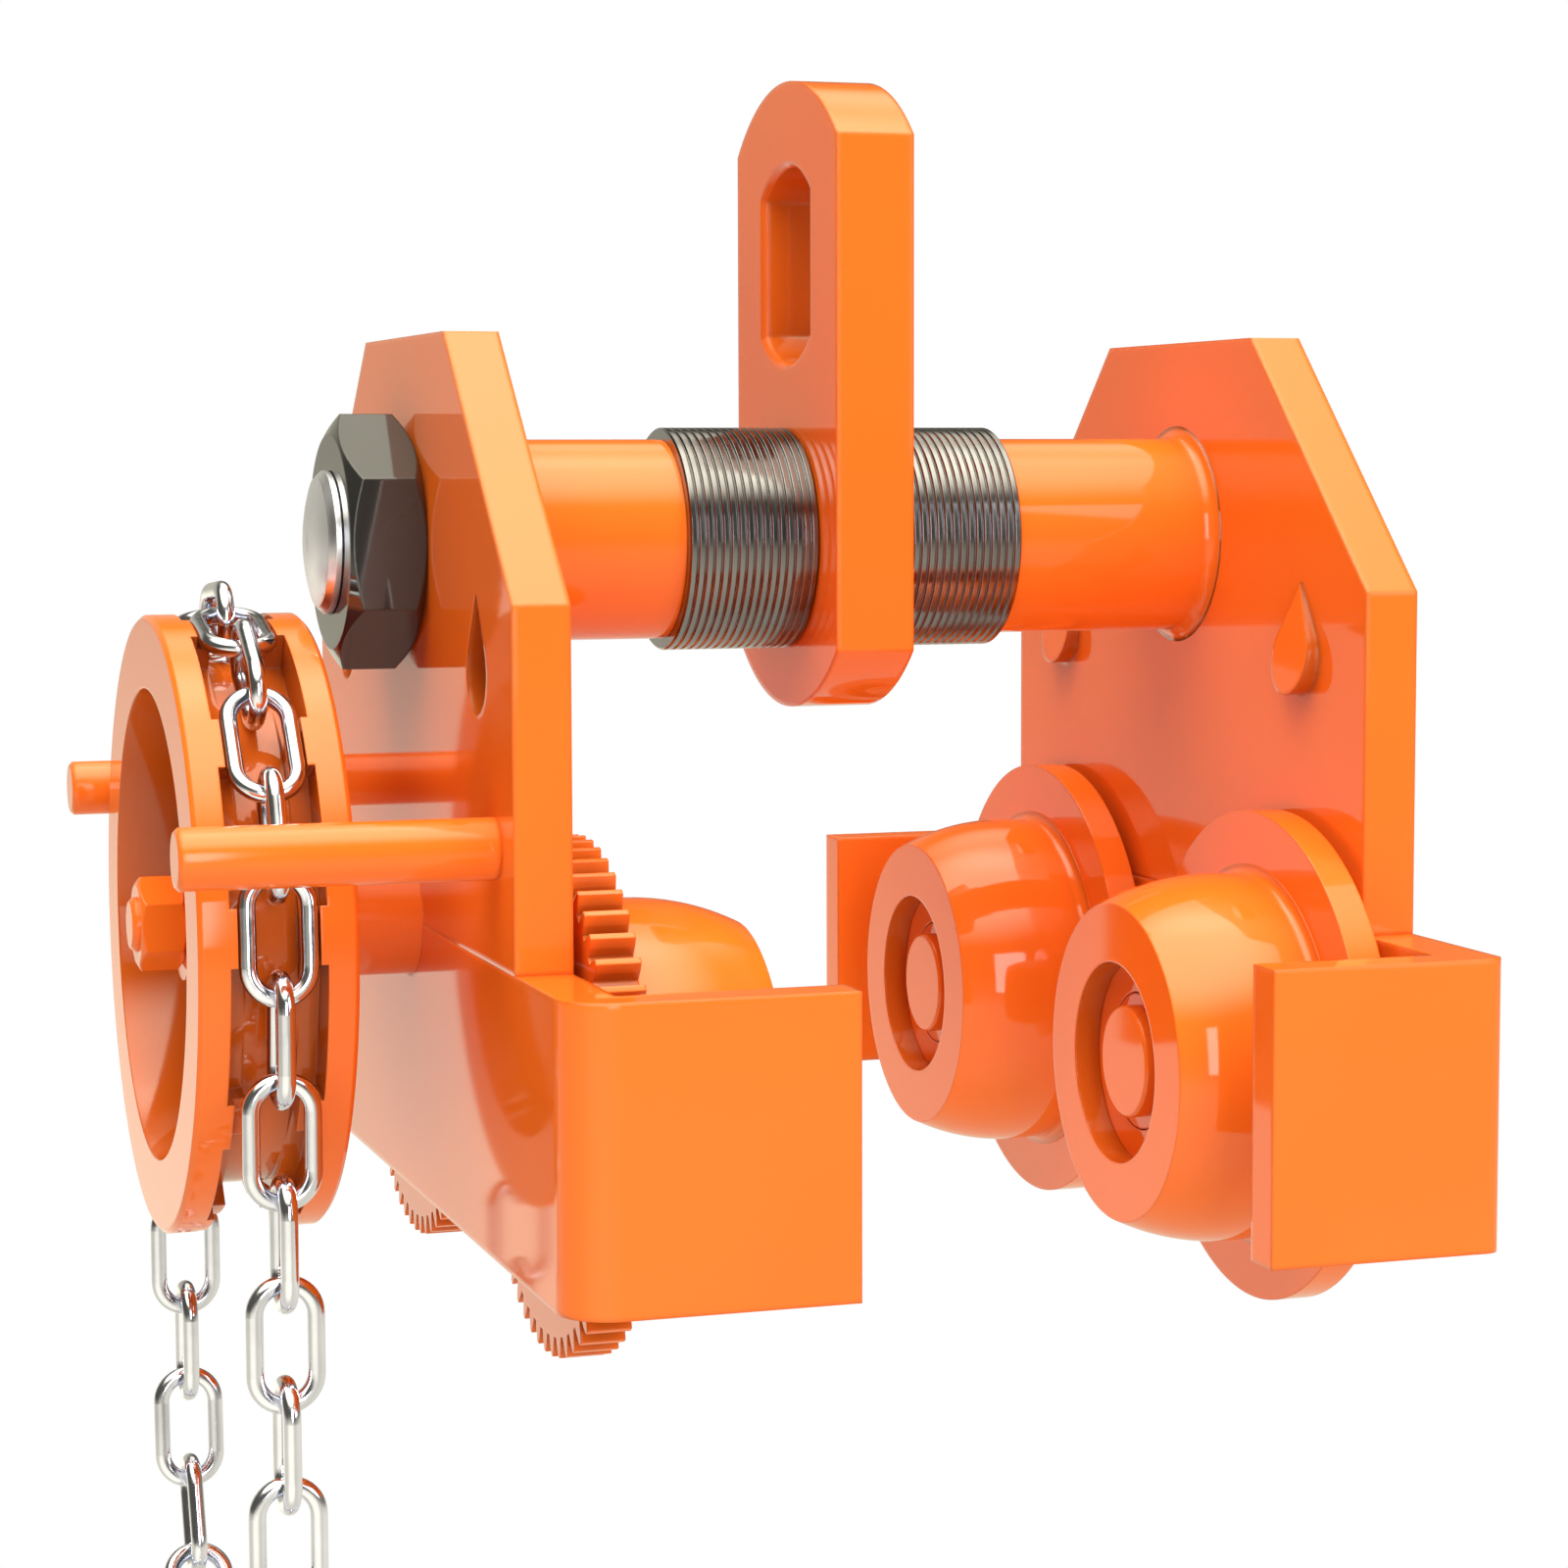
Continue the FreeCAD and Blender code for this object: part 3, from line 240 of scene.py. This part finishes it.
# metals: two tones, range of roughness, scale of the grain and its stretch
WASHER = bare_metal(
    "washer_steel", (0.17, 0.167, 0.174), (0.26, 0.256, 0.266), (0.12, 0.22), 900.0, AROUND_X)
BRIGHT = bare_metal(
    "bright_steel", (0.69, 0.7, 0.79), (0.83, 0.84, 0.93), (0.26, 0.4), 700.0, AROUND_X)
CHAIN = bare_metal(
    "zinc_plate", (0.64, 0.66, 0.75), (0.82, 0.84, 0.95), (0.08, 0.2), 240.0, EVEN)
BRONZE = bare_metal(
    "bronze", (0.42, 0.25, 0.09), (0.52, 0.33, 0.13), (0.22, 0.36), 600.0, AROUND_X)
STEEL = bare_metal(
    "machined_steel", (0.34, 0.34, 0.34), (0.44, 0.44, 0.44), (0.2, 0.34), 700.0, AROUND_X)

FINISHES = {
    "orange_paint": ORANGE,
    "washer_steel": WASHER,
    "blackened_steel": BLACK,
    "bright_steel": BRIGHT,
    "zinc_chain": CHAIN,
    "bronze": BRONZE,
    "machined_steel": STEEL,
}

# ends of the names of orange pieces whose teeth, pockets, beads or small steps
# would be lost under the plates' wide edges
SMALL_FORMS = (
    "_wheel", "_ring", "_tube", "_races", "_cap", "_nut", "_washer", "drive_shaft", "_pinion")


def dress_nodes():
    for entry in frame["record"]["subparts"]:
        node = nodes[entry["node"]]
        finish = FINISHES[entry["material_slot"]]
        if finish is ORANGE and entry["node"].endswith(SMALL_FORMS):
            finish = FINE_ORANGE
        node.data.materials.clear()
        node.data.materials.append(finish)


# studio

FLOOR_GAP = 0.02
FLOOR_SIZE = 12.0
# the studio's soft bright areas: direction, angle of the full area,
# angle where it has faded out, level
SOFT_AREAS = (
    ((-0.12, -0.2, 0.97), 12.0, 47.0, 5.6),
    ((0.2, 0.45, 0.87), 8.0, 32.0, 1.86),
    ((0.0, 0.0, -1.0), 76.0, 92.0, 0.72),
    ((-0.4, -0.7, -0.55), 15.0, 50.0, 0.57),
    ((-0.3, 0.95, 0.0), 15.0, 40.0, 0.5),
    ((1.0, 0.0, 0.1), 20.0, 70.0, 0.14),
)
WALL_LEVEL = 0.1
WALL_COLOUR = (1.0, 0.95, 0.76, 1.0)


def only_for_camera(tree):
    """A factor that is 1 for the rays that come straight from the camera."""
    return tree.nodes.new("ShaderNodeLightPath").outputs["Is Camera Ray"]


def soft_area(tree, direction, area):
    """A level that is full within one angle of a direction and fades out at a wider one."""
    towards, full_angle, end_angle, level = area
    nearness = tree.nodes.new("ShaderNodeVectorMath")
    nearness.operation = "DOT_PRODUCT"
    nearness.inputs[1].default_value = Vector(towards).normalized()
    tree.links.new(direction, nearness.inputs[0])
    faded = tree.nodes.new("ShaderNodeMapRange")
    faded.interpolation_type = "SMOOTHSTEP"
    faded.inputs["From Min"].default_value = math.cos(math.radians(end_angle))
    faded.inputs["From Max"].default_value = math.cos(math.radians(full_angle))
    faded.inputs["To Max"].default_value = level
    tree.links.new(nearness.outputs["Value"], faded.inputs["Value"])
    return faded.outputs["Result"]


def make_world():
    """White behind the object, and round it a dim studio with soft bright areas."""
    world = bpy.data.worlds.new("studio")
    scene.world = world
    world.use_nodes = True
    tree = world.node_tree
    direction = tree.nodes.new("ShaderNodeTexCoord").outputs["Generated"]
    level = None
    for area in SOFT_AREAS:
        added = tree.nodes.new("ShaderNodeMath")
        added.operation = "ADD"
        added.inputs[1].default_value = WALL_LEVEL
        tree.links.new(soft_area(tree, direction, area), added.inputs[0])
        if level is not None:
            tree.links.new(level, added.inputs[1])
        level = added.outputs[0]
    soft = tree.nodes["Background"]
    soft.inputs["Color"].default_value = WALL_COLOUR
    tree.links.new(level, soft.inputs["Strength"])
    white = tree.nodes.new("ShaderNodeBackground")
    white.inputs["Color"].default_value = (1.0, 1.0, 1.0, 1.0)
    white.inputs["Strength"].default_value = 1.0
    mix = tree.nodes.new("ShaderNodeMixShader")
    tree.links.new(only_for_camera(tree), mix.inputs["Fac"])
    tree.links.new(soft.outputs[0], mix.inputs[1])
    tree.links.new(white.outputs[0], mix.inputs[2])
    tree.links.new(mix.outputs[0], tree.nodes["World Output"].inputs["Surface"])


def make_floor():
    """A pale floor that the camera sees as plain white, and does not see from below."""
    low = cad_box[0][2] - FLOOR_GAP
    mesh = bpy.data.meshes.new("floor")
    half = FLOOR_SIZE / 2
    corners = [(-half, -half, low), (half, -half, low), (half, half, low), (-half, half, low)]
    mesh.from_pydata(corners, [], [(0, 1, 2, 3)])
    floor = bpy.data.objects.new("floor", mesh)
    scene.collection.objects.link(floor)
    material = bpy.data.materials.new("pale_floor")
    material.use_nodes = True
    tree = material.node_tree
    shader = tree.nodes["Principled BSDF"]
    shader.inputs["Base Color"].default_value = (0.9, 0.9, 0.89, 1.0)
    shader.inputs["Roughness"].default_value = 0.9
    glow = tree.nodes.new("ShaderNodeEmission")
    glow.inputs["Strength"].default_value = 1.0
    seen = tree.nodes.new("ShaderNodeMixShader")
    tree.links.new(only_for_camera(tree), seen.inputs["Fac"])
    tree.links.new(shader.outputs[0], seen.inputs[1])
    tree.links.new(glow.outputs[0], seen.inputs[2])
    one_sided = tree.nodes.new("ShaderNodeMixShader")
    from_below = tree.nodes.new("ShaderNodeNewGeometry").outputs["Backfacing"]
    tree.links.new(from_below, one_sided.inputs["Fac"])
    tree.links.new(seen.outputs[0], one_sided.inputs[1])
    clear = tree.nodes.new("ShaderNodeBsdfTransparent")
    tree.links.new(clear.outputs[0], one_sided.inputs[2])
    tree.links.new(one_sided.outputs[0], tree.nodes["Material Output"].inputs["Surface"])
    mesh.materials.append(material)
    floor.visible_glossy = False
    floor.visible_diffuse = False
    floor.visible_shadow = False


LAMP_COLOUR = (1.0, 0.98, 0.94)
LAMP_TARGET = Vector((0.0, 0.0, -0.15))
# the lamps: name, place, width and height, power
LAMPS = (
    ("front_light", Vector((-0.2, -2.5, 0.35)), (0.8, 1.3), 24.3),
    ("right_light", Vector((1.7, -1.9, 0.7)), (1.4, 1.6), 19.3),
)


def make_light():
    for name, place, (width, height), power in LAMPS:
        data = bpy.data.lights.new(name, "AREA")
        data.shape = "RECTANGLE"
        data.size = width
        data.size_y = height
        data.energy = power
        data.color = LAMP_COLOUR
        lamp = bpy.data.objects.new(name, data)
        lamp.location = place
        lamp.rotation_euler = (LAMP_TARGET - place).to_track_quat("-Z", "Y").to_euler()
        scene.collection.objects.link(lamp)


make_camera()
dress_nodes()
make_world()
make_floor()
make_light()
scene.view_settings.view_transform = "Standard"
